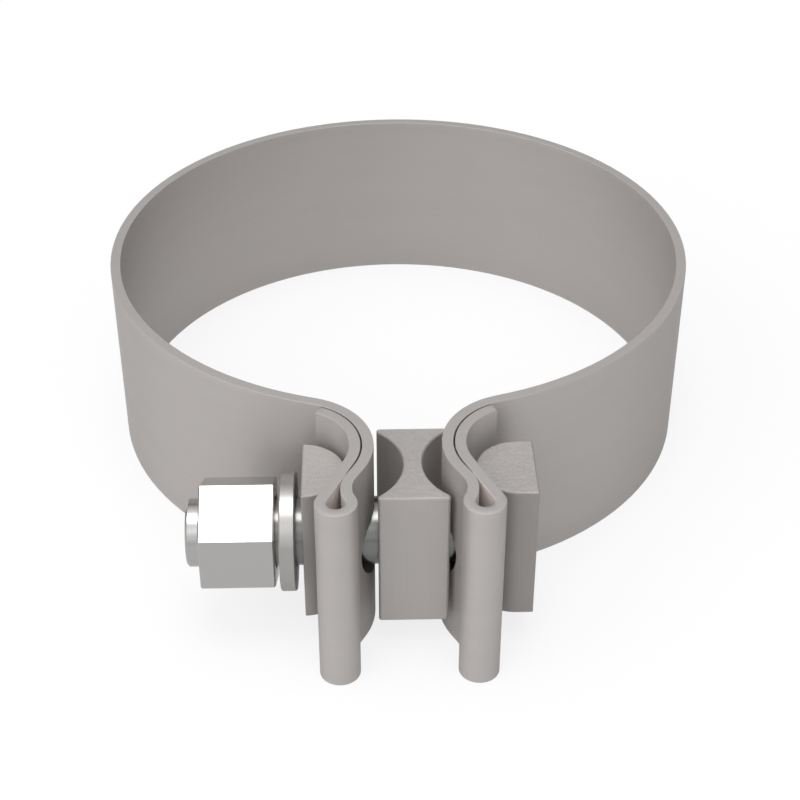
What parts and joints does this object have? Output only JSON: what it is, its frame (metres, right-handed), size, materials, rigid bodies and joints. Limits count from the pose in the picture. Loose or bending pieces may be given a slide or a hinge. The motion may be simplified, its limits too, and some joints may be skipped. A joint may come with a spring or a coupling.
{
  "type": "exhaust clamp",
  "caption": "Steel band clamp for a pipe joint, with folded looped ears, a waisted spacer between them and a bolt that draws two bars together with a nut and washer.",
  "frame": {"origin": "centre of the pipe bore at the band's mid width", "axes": "+Z along the pipe, ears and bolt toward -Y, nut at the bolt's -X end"},
  "size_m": [0.092, 0.115, 0.03],
  "materials": {
    "band_steel": "satin stainless strip, fine grain along the strip",
    "bar_steel": "matte, finely grained end faces",
    "bright_steel": "bright plated, smooth"
  },
  "bodies": {
    "band": {"band": "band_steel"},
    "clamp_bolt": {"bolt": "bright_steel", "head_side_block": "bar_steel"},
    "spacer": {"spacer_block": "bar_steel"},
    "nut_bar": {"nut_side_block": "bar_steel"},
    "washer": {"washer": "bright_steel"},
    "nut": {"nut": "bright_steel"}
  },
  "joints": [
    {"name": "bolt_slide", "type": "slide", "parent": "band", "child": "clamp_bolt", "axis": [1, 0, 0], "range_m": [-0.00125, 0.0003]},
    {"name": "spacer_slide", "type": "slide", "parent": "band", "child": "spacer", "axis": [1, 0, 0], "range_m": [-0.0017, 0.00045]},
    {"name": "nut_bar_slide", "type": "slide", "parent": "band", "child": "nut_bar", "axis": [1, 0, 0], "range_m": [-0.00015, 0.0005]},
    {"name": "nut_travel", "type": "slide", "parent": "clamp_bolt", "child": "washer", "axis": [1, 0, 0], "range_m": [-0.0124, 0.0004]},
    {"name": "nut_turn", "type": "hinge", "parent": "washer", "child": "nut", "pos_m": [0, -0.05362, 0], "axis": [1, 0, 0], "range_deg": [-2808, 90]}
  ],
  "couplings": [
    {"joint": "nut_travel", "follows": "nut_turn", "m_per_rad": 0.00025266}
  ]
}
